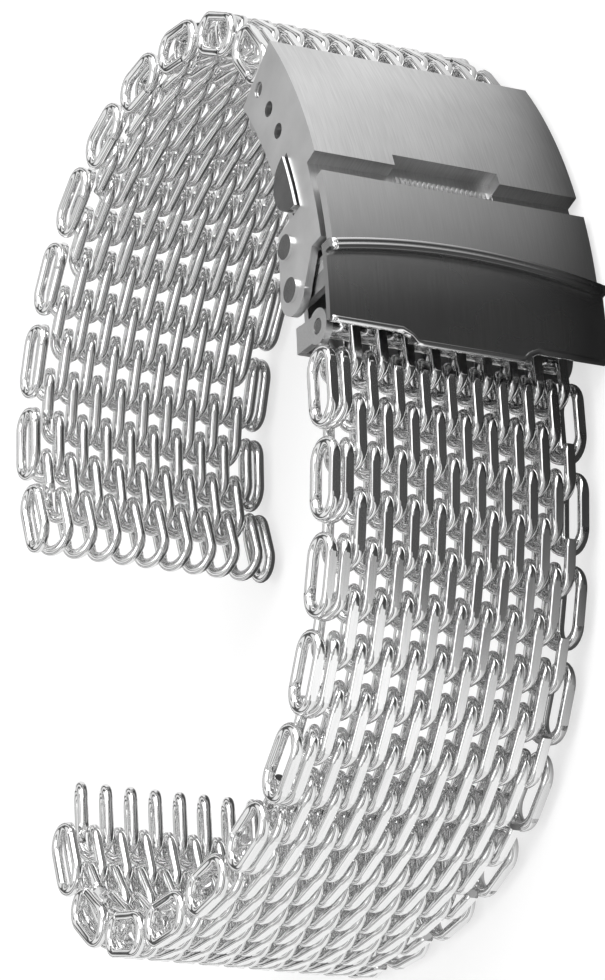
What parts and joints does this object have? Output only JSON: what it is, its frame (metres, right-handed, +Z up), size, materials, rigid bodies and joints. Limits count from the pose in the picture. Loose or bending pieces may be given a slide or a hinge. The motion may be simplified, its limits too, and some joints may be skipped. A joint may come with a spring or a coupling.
{
  "type": "mesh watch band",
  "caption": "Woven metal mesh watch band, curved into an open loop, with a fold-over clasp, a safety flap and two push buttons.",
  "frame": {"origin": "middle of the bounding box, at the level that the band lies on", "axes": "+Z up and across the band: the band lies on its side edge, so every hinge is vertical. The clasp faces -Y. The strap on the cover's side leaves the clasp at +X, the strap on the flap's side at -X."},
  "size_m": [0.0706, 0.0584, 0.023],
  "materials": {
    "wire": "polished stainless steel wire with ground flats on the outer face",
    "brushed": "brushed stainless steel sheet",
    "flap": "brushed stainless steel with a polished bead and edges",
    "sheet": "satin stainless steel sheet",
    "bright": "polished stainless steel"
  },
  "bodies": {
    "clasp_cover": {"cover": "brushed", "flap_rivets": "bright", "leaf_rivets": "bright", "strap_a_bar": "bright", "button_spring": "bright"},
    "flap": {"safety_flap": "flap"},
    "middle": {"middle_leaf": "sheet", "fold_pin": "bright"},
    "inner": {"inner_leaf": "sheet", "strap_b_bar": "bright"},
    "push_left": {"button_left": "bright"},
    "push_right": {"button_right": "bright"},
    "b_strap_a_row_01": {"strap_a_row_01": "wire"},
    "b_strap_a_row_02": {"strap_a_row_02": "wire"},
    "b_strap_a_row_03": {"strap_a_row_03": "wire"},
    "b_strap_a_row_04": {"strap_a_row_04": "wire"},
    "b_strap_a_row_05": {"strap_a_row_05": "wire"},
    "b_strap_a_row_06": {"strap_a_row_06": "wire"},
    "b_strap_a_row_07": {"strap_a_row_07": "wire"},
    "b_strap_a_row_08": {"strap_a_row_08": "wire"},
    "b_strap_a_row_09": {"strap_a_row_09": "wire"},
    "b_strap_a_row_10": {"strap_a_row_10": "wire"},
    "b_strap_a_row_11": {"strap_a_row_11": "wire"},
    "b_strap_a_row_12": {"strap_a_row_12": "wire"},
    "b_strap_a_row_13": {"strap_a_row_13": "wire"},
    "b_strap_a_row_14": {"strap_a_row_14": "wire"},
    "b_strap_a_row_15": {"strap_a_row_15": "wire"},
    "b_strap_a_row_16": {"strap_a_row_16": "wire"},
    "b_strap_a_row_17": {"strap_a_row_17": "wire"},
    "b_strap_a_row_18": {"strap_a_row_18": "wire"},
    "b_strap_a_row_19": {"strap_a_row_19": "wire"},
    "b_strap_a_row_20": {"strap_a_row_20": "wire"},
    "b_strap_b_row_01": {"strap_b_row_01": "wire"},
    "b_strap_b_row_02": {"strap_b_row_02": "wire"},
    "b_strap_b_row_03": {"strap_b_row_03": "wire"},
    "b_strap_b_row_04": {"strap_b_row_04": "wire"},
    "b_strap_b_row_05": {"strap_b_row_05": "wire"},
    "b_strap_b_row_06": {"strap_b_row_06": "wire"},
    "b_strap_b_row_07": {"strap_b_row_07": "wire"},
    "b_strap_b_row_08": {"strap_b_row_08": "wire"},
    "b_strap_b_row_09": {"strap_b_row_09": "wire"},
    "b_strap_b_row_10": {"strap_b_row_10": "wire"},
    "b_strap_b_row_11": {"strap_b_row_11": "wire"},
    "b_strap_b_row_12": {"strap_b_row_12": "wire"},
    "b_strap_b_row_13": {"strap_b_row_13": "wire"},
    "b_strap_b_row_14": {"strap_b_row_14": "wire"},
    "b_strap_b_row_15": {"strap_b_row_15": "wire"},
    "b_strap_b_row_16": {"strap_b_row_16": "wire"},
    "b_strap_b_row_17": {"strap_b_row_17": "wire"},
    "b_strap_b_row_18": {"strap_b_row_18": "wire"},
    "b_strap_b_row_19": {"strap_b_row_19": "wire"},
    "b_strap_b_row_20": {"strap_b_row_20": "wire"},
    "b_strap_b_row_21": {"strap_b_row_21": "wire"},
    "b_strap_b_row_22": {"strap_b_row_22": "wire"},
    "b_strap_b_row_23": {"strap_b_row_23": "wire"}
  },
  "joints": [
    {"name": "flap_hinge", "type": "hinge", "parent": "clasp_cover", "child": "flap", "pos_m": [-0.00106, -0.0221, 0.0115], "axis": [0, 0, -1], "range_deg": [0, 12]},
    {"name": "leaf_hinge", "type": "hinge", "parent": "clasp_cover", "child": "middle", "pos_m": [0.0025, -0.02269, 0.0115], "axis": [0, 0, 1], "range_deg": [0, 70]},
    {"name": "fold_hinge", "type": "hinge", "parent": "middle", "child": "inner", "pos_m": [0.01756, -0.02021, 0.0115], "axis": [0, 0, -1], "range_deg": [0, 150]},
    {"name": "push_left_slide", "type": "slide", "parent": "clasp_cover", "child": "push_left", "axis": [0, 0, 1], "range_m": [0, 0.0008], "stiffness_N_per_m": 800, "springref_m": -0.0005},
    {"name": "push_right_slide", "type": "slide", "parent": "clasp_cover", "child": "push_right", "axis": [0, 0, -1], "range_m": [0, 0.0008], "stiffness_N_per_m": 800, "springref_m": -0.0005, "deforming": ["button_spring"]},
    {"name": "strap_a_swivel", "type": "hinge", "parent": "clasp_cover", "child": "b_strap_a_row_01", "pos_m": [0.01702, -0.02368, 0.0115], "axis": [0, 0, 1], "range_deg": [-6, 6]},
    {"name": "strap_b_swivel", "type": "hinge", "parent": "inner", "child": "b_strap_b_row_01", "pos_m": [-0.00502, -0.02307, 0.0115], "axis": [0, 0, -1], "range_deg": [-8, 8]},
    {"name": "strap_a_bend_01", "type": "hinge", "parent": "b_strap_a_row_01", "child": "b_strap_a_row_02", "pos_m": [0.02, -0.02326, 0.0115], "axis": [0, 0, 1], "range_deg": [-13.5, 0.65]},
    {"name": "strap_a_bend_02", "type": "hinge", "parent": "b_strap_a_row_02", "child": "b_strap_a_row_03", "pos_m": [0.02322, -0.02199, 0.0115], "axis": [0, 0, 1], "range_deg": [-13.51, 0.66]},
    {"name": "strap_a_bend_03", "type": "hinge", "parent": "b_strap_a_row_03", "child": "b_strap_a_row_04", "pos_m": [0.02606, -0.02001, 0.0115], "axis": [0, 0, 1], "range_deg": [-11.01, 0.54]},
    {"name": "strap_a_bend_04", "type": "hinge", "parent": "b_strap_a_row_04", "child": "b_strap_a_row_05", "pos_m": [0.02846, -0.01752, 0.0115], "axis": [0, 0, 1], "range_deg": [-11.01, 0.54]},
    {"name": "strap_a_bend_05", "type": "hinge", "parent": "b_strap_a_row_05", "child": "b_strap_a_row_06", "pos_m": [0.03035, -0.01462, 0.0115], "axis": [0, 0, 1], "range_deg": [-9.01, 0.44]},
    {"name": "strap_a_bend_06", "type": "hinge", "parent": "b_strap_a_row_06", "child": "b_strap_a_row_07", "pos_m": [0.03175, -0.01146, 0.0115], "axis": [0, 0, 1], "range_deg": [-7.01, 0.35]},
    {"name": "strap_a_bend_07", "type": "hinge", "parent": "b_strap_a_row_07", "child": "b_strap_a_row_08", "pos_m": [0.03277, -0.00815, 0.0115], "axis": [0, 0, 1], "range_deg": [-7.01, 0.35]},
    {"name": "strap_a_bend_08", "type": "hinge", "parent": "b_strap_a_row_08", "child": "b_strap_a_row_09", "pos_m": [0.03337, -0.00474, 0.0115], "axis": [0, 0, 1], "range_deg": [-7.01, 0.35]},
    {"name": "strap_a_bend_09", "type": "hinge", "parent": "b_strap_a_row_09", "child": "b_strap_a_row_10", "pos_m": [0.03355, -0.00129, 0.0115], "axis": [0, 0, 1], "range_deg": [-7.01, 0.35]},
    {"name": "strap_a_bend_10", "type": "hinge", "parent": "b_strap_a_row_10", "child": "b_strap_a_row_11", "pos_m": [0.03331, 0.00216, 0.0115], "axis": [0, 0, 1], "range_deg": [-7.01, 0.35]},
    {"name": "strap_a_bend_11", "type": "hinge", "parent": "b_strap_a_row_11", "child": "b_strap_a_row_12", "pos_m": [0.03265, 0.00556, 0.0115], "axis": [0, 0, 1], "range_deg": [-8.01, 0.4]},
    {"name": "strap_a_bend_12", "type": "hinge", "parent": "b_strap_a_row_12", "child": "b_strap_a_row_13", "pos_m": [0.03152, 0.00883, 0.0115], "axis": [0, 0, 1], "range_deg": [-8.01, 0.4]},
    {"name": "strap_a_bend_13", "type": "hinge", "parent": "b_strap_a_row_13", "child": "b_strap_a_row_14", "pos_m": [0.02995, 0.01192, 0.0115], "axis": [0, 0, 1], "range_deg": [-8.01, 0.4]},
    {"name": "strap_a_bend_14", "type": "hinge", "parent": "b_strap_a_row_14", "child": "b_strap_a_row_15", "pos_m": [0.02796, 0.01475, 0.0115], "axis": [0, 0, 1], "range_deg": [-8.01, 0.4]},
    {"name": "strap_a_bend_15", "type": "hinge", "parent": "b_strap_a_row_15", "child": "b_strap_a_row_16", "pos_m": [0.0256, 0.01728, 0.0115], "axis": [0, 0, 1], "range_deg": [-8.01, 0.4]},
    {"name": "strap_a_bend_16", "type": "hinge", "parent": "b_strap_a_row_16", "child": "b_strap_a_row_17", "pos_m": [0.02292, 0.01946, 0.0115], "axis": [0, 0, 1], "range_deg": [-9.51, 0.47]},
    {"name": "strap_a_bend_17", "type": "hinge", "parent": "b_strap_a_row_17", "child": "b_strap_a_row_18", "pos_m": [0.0199, 0.02116, 0.0115], "axis": [0, 0, 1], "range_deg": [-9.51, 0.47]},
    {"name": "strap_a_bend_18", "type": "hinge", "parent": "b_strap_a_row_18", "child": "b_strap_a_row_19", "pos_m": [0.01665, 0.02235, 0.0115], "axis": [0, 0, 1], "range_deg": [-10.51, 0.52]},
    {"name": "strap_a_bend_19", "type": "hinge", "parent": "b_strap_a_row_19", "child": "b_strap_a_row_20", "pos_m": [0.01324, 0.02292, 0.0115], "axis": [0, 0, 1], "range_deg": [-10.51, 0.52]},
    {"name": "strap_b_bend_01", "type": "hinge", "parent": "b_strap_b_row_01", "child": "b_strap_b_row_02", "pos_m": [-0.00796, -0.02245, 0.0115], "axis": [0, 0, -1], "range_deg": [-4, 0.2]},
    {"name": "strap_b_bend_02", "type": "hinge", "parent": "b_strap_b_row_02", "child": "b_strap_b_row_03", "pos_m": [-0.01129, -0.02149, 0.0115], "axis": [0, 0, -1], "range_deg": [-4.01, 0.21]},
    {"name": "strap_b_bend_03", "type": "hinge", "parent": "b_strap_b_row_03", "child": "b_strap_b_row_04", "pos_m": [-0.01454, -0.02031, 0.0115], "axis": [0, 0, -1], "range_deg": [-4.01, 0.21]},
    {"name": "strap_b_bend_04", "type": "hinge", "parent": "b_strap_b_row_04", "child": "b_strap_b_row_05", "pos_m": [-0.0177, -0.0189, 0.0115], "axis": [0, 0, -1], "range_deg": [-4.01, 0.21]},
    {"name": "strap_b_bend_05", "type": "hinge", "parent": "b_strap_b_row_05", "child": "b_strap_b_row_06", "pos_m": [-0.02076, -0.01728, 0.0115], "axis": [0, 0, -1], "range_deg": [-6.01, 0.31]},
    {"name": "strap_b_bend_06", "type": "hinge", "parent": "b_strap_b_row_06", "child": "b_strap_b_row_07", "pos_m": [-0.02363, -0.01534, 0.0115], "axis": [0, 0, -1], "range_deg": [-6.01, 0.31]},
    {"name": "strap_b_bend_07", "type": "hinge", "parent": "b_strap_b_row_07", "child": "b_strap_b_row_08", "pos_m": [-0.02628, -0.01312, 0.0115], "axis": [0, 0, -1], "range_deg": [-6.01, 0.31]},
    {"name": "strap_b_bend_08", "type": "hinge", "parent": "b_strap_b_row_08", "child": "b_strap_b_row_09", "pos_m": [-0.02868, -0.01063, 0.0115], "axis": [0, 0, -1], "range_deg": [-8.01, 0.41]},
    {"name": "strap_b_bend_09", "type": "hinge", "parent": "b_strap_b_row_09", "child": "b_strap_b_row_10", "pos_m": [-0.03071, -0.00783, 0.0115], "axis": [0, 0, -1], "range_deg": [-10.01, 0.51]},
    {"name": "strap_b_bend_10", "type": "hinge", "parent": "b_strap_b_row_10", "child": "b_strap_b_row_11", "pos_m": [-0.03223, -0.00472, 0.0115], "axis": [0, 0, -1], "range_deg": [-10.01, 0.51]},
    {"name": "strap_b_bend_11", "type": "hinge", "parent": "b_strap_b_row_11", "child": "b_strap_b_row_12", "pos_m": [-0.03318, -0.00139, 0.0115], "axis": [0, 0, -1], "range_deg": [-10.01, 0.51]},
    {"name": "strap_b_bend_12", "type": "hinge", "parent": "b_strap_b_row_12", "child": "b_strap_b_row_13", "pos_m": [-0.03355, 0.00205, 0.0115], "axis": [0, 0, -1], "range_deg": [-8.01, 0.41]},
    {"name": "strap_b_bend_13", "type": "hinge", "parent": "b_strap_b_row_13", "child": "b_strap_b_row_14", "pos_m": [-0.03343, 0.0055, 0.0115], "axis": [0, 0, -1], "range_deg": [-5.01, 0.26]},
    {"name": "strap_b_bend_14", "type": "hinge", "parent": "b_strap_b_row_14", "child": "b_strap_b_row_15", "pos_m": [-0.033, 0.00894, 0.0115], "axis": [0, 0, -1], "range_deg": [-4.01, 0.21]},
    {"name": "strap_b_bend_15", "type": "hinge", "parent": "b_strap_b_row_15", "child": "b_strap_b_row_16", "pos_m": [-0.03234, 0.01234, 0.0115], "axis": [0, 0, -1], "range_deg": [-4.01, 0.21]},
    {"name": "strap_b_bend_16", "type": "hinge", "parent": "b_strap_b_row_16", "child": "b_strap_b_row_17", "pos_m": [-0.03145, 0.01568, 0.0115], "axis": [0, 0, -1], "range_deg": [-6.01, 0.31]},
    {"name": "strap_b_bend_17", "type": "hinge", "parent": "b_strap_b_row_17", "child": "b_strap_b_row_18", "pos_m": [-0.03021, 0.01891, 0.0115], "axis": [0, 0, -1], "range_deg": [-9.01, 0.46]},
    {"name": "strap_b_bend_18", "type": "hinge", "parent": "b_strap_b_row_18", "child": "b_strap_b_row_19", "pos_m": [-0.02848, 0.0219, 0.0115], "axis": [0, 0, -1], "range_deg": [-12.01, 0.61]},
    {"name": "strap_b_bend_19", "type": "hinge", "parent": "b_strap_b_row_19", "child": "b_strap_b_row_20", "pos_m": [-0.02616, 0.02448, 0.0115], "axis": [0, 0, -1], "range_deg": [-14.51, 0.73]},
    {"name": "strap_b_bend_20", "type": "hinge", "parent": "b_strap_b_row_20", "child": "b_strap_b_row_21", "pos_m": [-0.02328, 0.02638, 0.0115], "axis": [0, 0, -1], "range_deg": [-16.41, 0.83]},
    {"name": "strap_b_bend_21", "type": "hinge", "parent": "b_strap_b_row_21", "child": "b_strap_b_row_22", "pos_m": [-0.01997, 0.0274, 0.0115], "axis": [0, 0, -1], "range_deg": [-16.41, 0.83]},
    {"name": "strap_b_bend_22", "type": "hinge", "parent": "b_strap_b_row_22", "child": "b_strap_b_row_23", "pos_m": [-0.01651, 0.02744, 0.0115], "axis": [0, 0, -1], "range_deg": [-16.41, 0.83]}
  ],
  "couplings": [
    {"joint": "fold_hinge", "follows": "leaf_hinge", "ratio": 2},
    {"joint": "strap_a_bend_02", "follows": "strap_a_bend_01", "ratio": 1},
    {"joint": "strap_a_bend_03", "follows": "strap_a_bend_01", "ratio": 0.81481},
    {"joint": "strap_a_bend_04", "follows": "strap_a_bend_01", "ratio": 0.81481},
    {"joint": "strap_a_bend_05", "follows": "strap_a_bend_01", "ratio": 0.66667},
    {"joint": "strap_a_bend_06", "follows": "strap_a_bend_01", "ratio": 0.51852},
    {"joint": "strap_a_bend_07", "follows": "strap_a_bend_01", "ratio": 0.51852},
    {"joint": "strap_a_bend_08", "follows": "strap_a_bend_01", "ratio": 0.51852},
    {"joint": "strap_a_bend_09", "follows": "strap_a_bend_01", "ratio": 0.51852},
    {"joint": "strap_a_bend_10", "follows": "strap_a_bend_01", "ratio": 0.51852},
    {"joint": "strap_a_bend_11", "follows": "strap_a_bend_01", "ratio": 0.59259},
    {"joint": "strap_a_bend_12", "follows": "strap_a_bend_01", "ratio": 0.59259},
    {"joint": "strap_a_bend_13", "follows": "strap_a_bend_01", "ratio": 0.59259},
    {"joint": "strap_a_bend_14", "follows": "strap_a_bend_01", "ratio": 0.59259},
    {"joint": "strap_a_bend_15", "follows": "strap_a_bend_01", "ratio": 0.59259},
    {"joint": "strap_a_bend_16", "follows": "strap_a_bend_01", "ratio": 0.7037},
    {"joint": "strap_a_bend_17", "follows": "strap_a_bend_01", "ratio": 0.7037},
    {"joint": "strap_a_bend_18", "follows": "strap_a_bend_01", "ratio": 0.77778},
    {"joint": "strap_a_bend_19", "follows": "strap_a_bend_01", "ratio": 0.77778},
    {"joint": "strap_b_bend_02", "follows": "strap_b_bend_01", "ratio": 1},
    {"joint": "strap_b_bend_03", "follows": "strap_b_bend_01", "ratio": 1},
    {"joint": "strap_b_bend_04", "follows": "strap_b_bend_01", "ratio": 1},
    {"joint": "strap_b_bend_05", "follows": "strap_b_bend_01", "ratio": 1.5},
    {"joint": "strap_b_bend_06", "follows": "strap_b_bend_01", "ratio": 1.5},
    {"joint": "strap_b_bend_07", "follows": "strap_b_bend_01", "ratio": 1.5},
    {"joint": "strap_b_bend_08", "follows": "strap_b_bend_01", "ratio": 2},
    {"joint": "strap_b_bend_09", "follows": "strap_b_bend_01", "ratio": 2.5},
    {"joint": "strap_b_bend_10", "follows": "strap_b_bend_01", "ratio": 2.5},
    {"joint": "strap_b_bend_11", "follows": "strap_b_bend_01", "ratio": 2.5},
    {"joint": "strap_b_bend_12", "follows": "strap_b_bend_01", "ratio": 2},
    {"joint": "strap_b_bend_13", "follows": "strap_b_bend_01", "ratio": 1.25},
    {"joint": "strap_b_bend_14", "follows": "strap_b_bend_01", "ratio": 1},
    {"joint": "strap_b_bend_15", "follows": "strap_b_bend_01", "ratio": 1},
    {"joint": "strap_b_bend_16", "follows": "strap_b_bend_01", "ratio": 1.5},
    {"joint": "strap_b_bend_17", "follows": "strap_b_bend_01", "ratio": 2.25},
    {"joint": "strap_b_bend_18", "follows": "strap_b_bend_01", "ratio": 3},
    {"joint": "strap_b_bend_19", "follows": "strap_b_bend_01", "ratio": 3.625},
    {"joint": "strap_b_bend_20", "follows": "strap_b_bend_01", "ratio": 4.1},
    {"joint": "strap_b_bend_21", "follows": "strap_b_bend_01", "ratio": 4.1},
    {"joint": "strap_b_bend_22", "follows": "strap_b_bend_01", "ratio": 4.1}
  ]
}
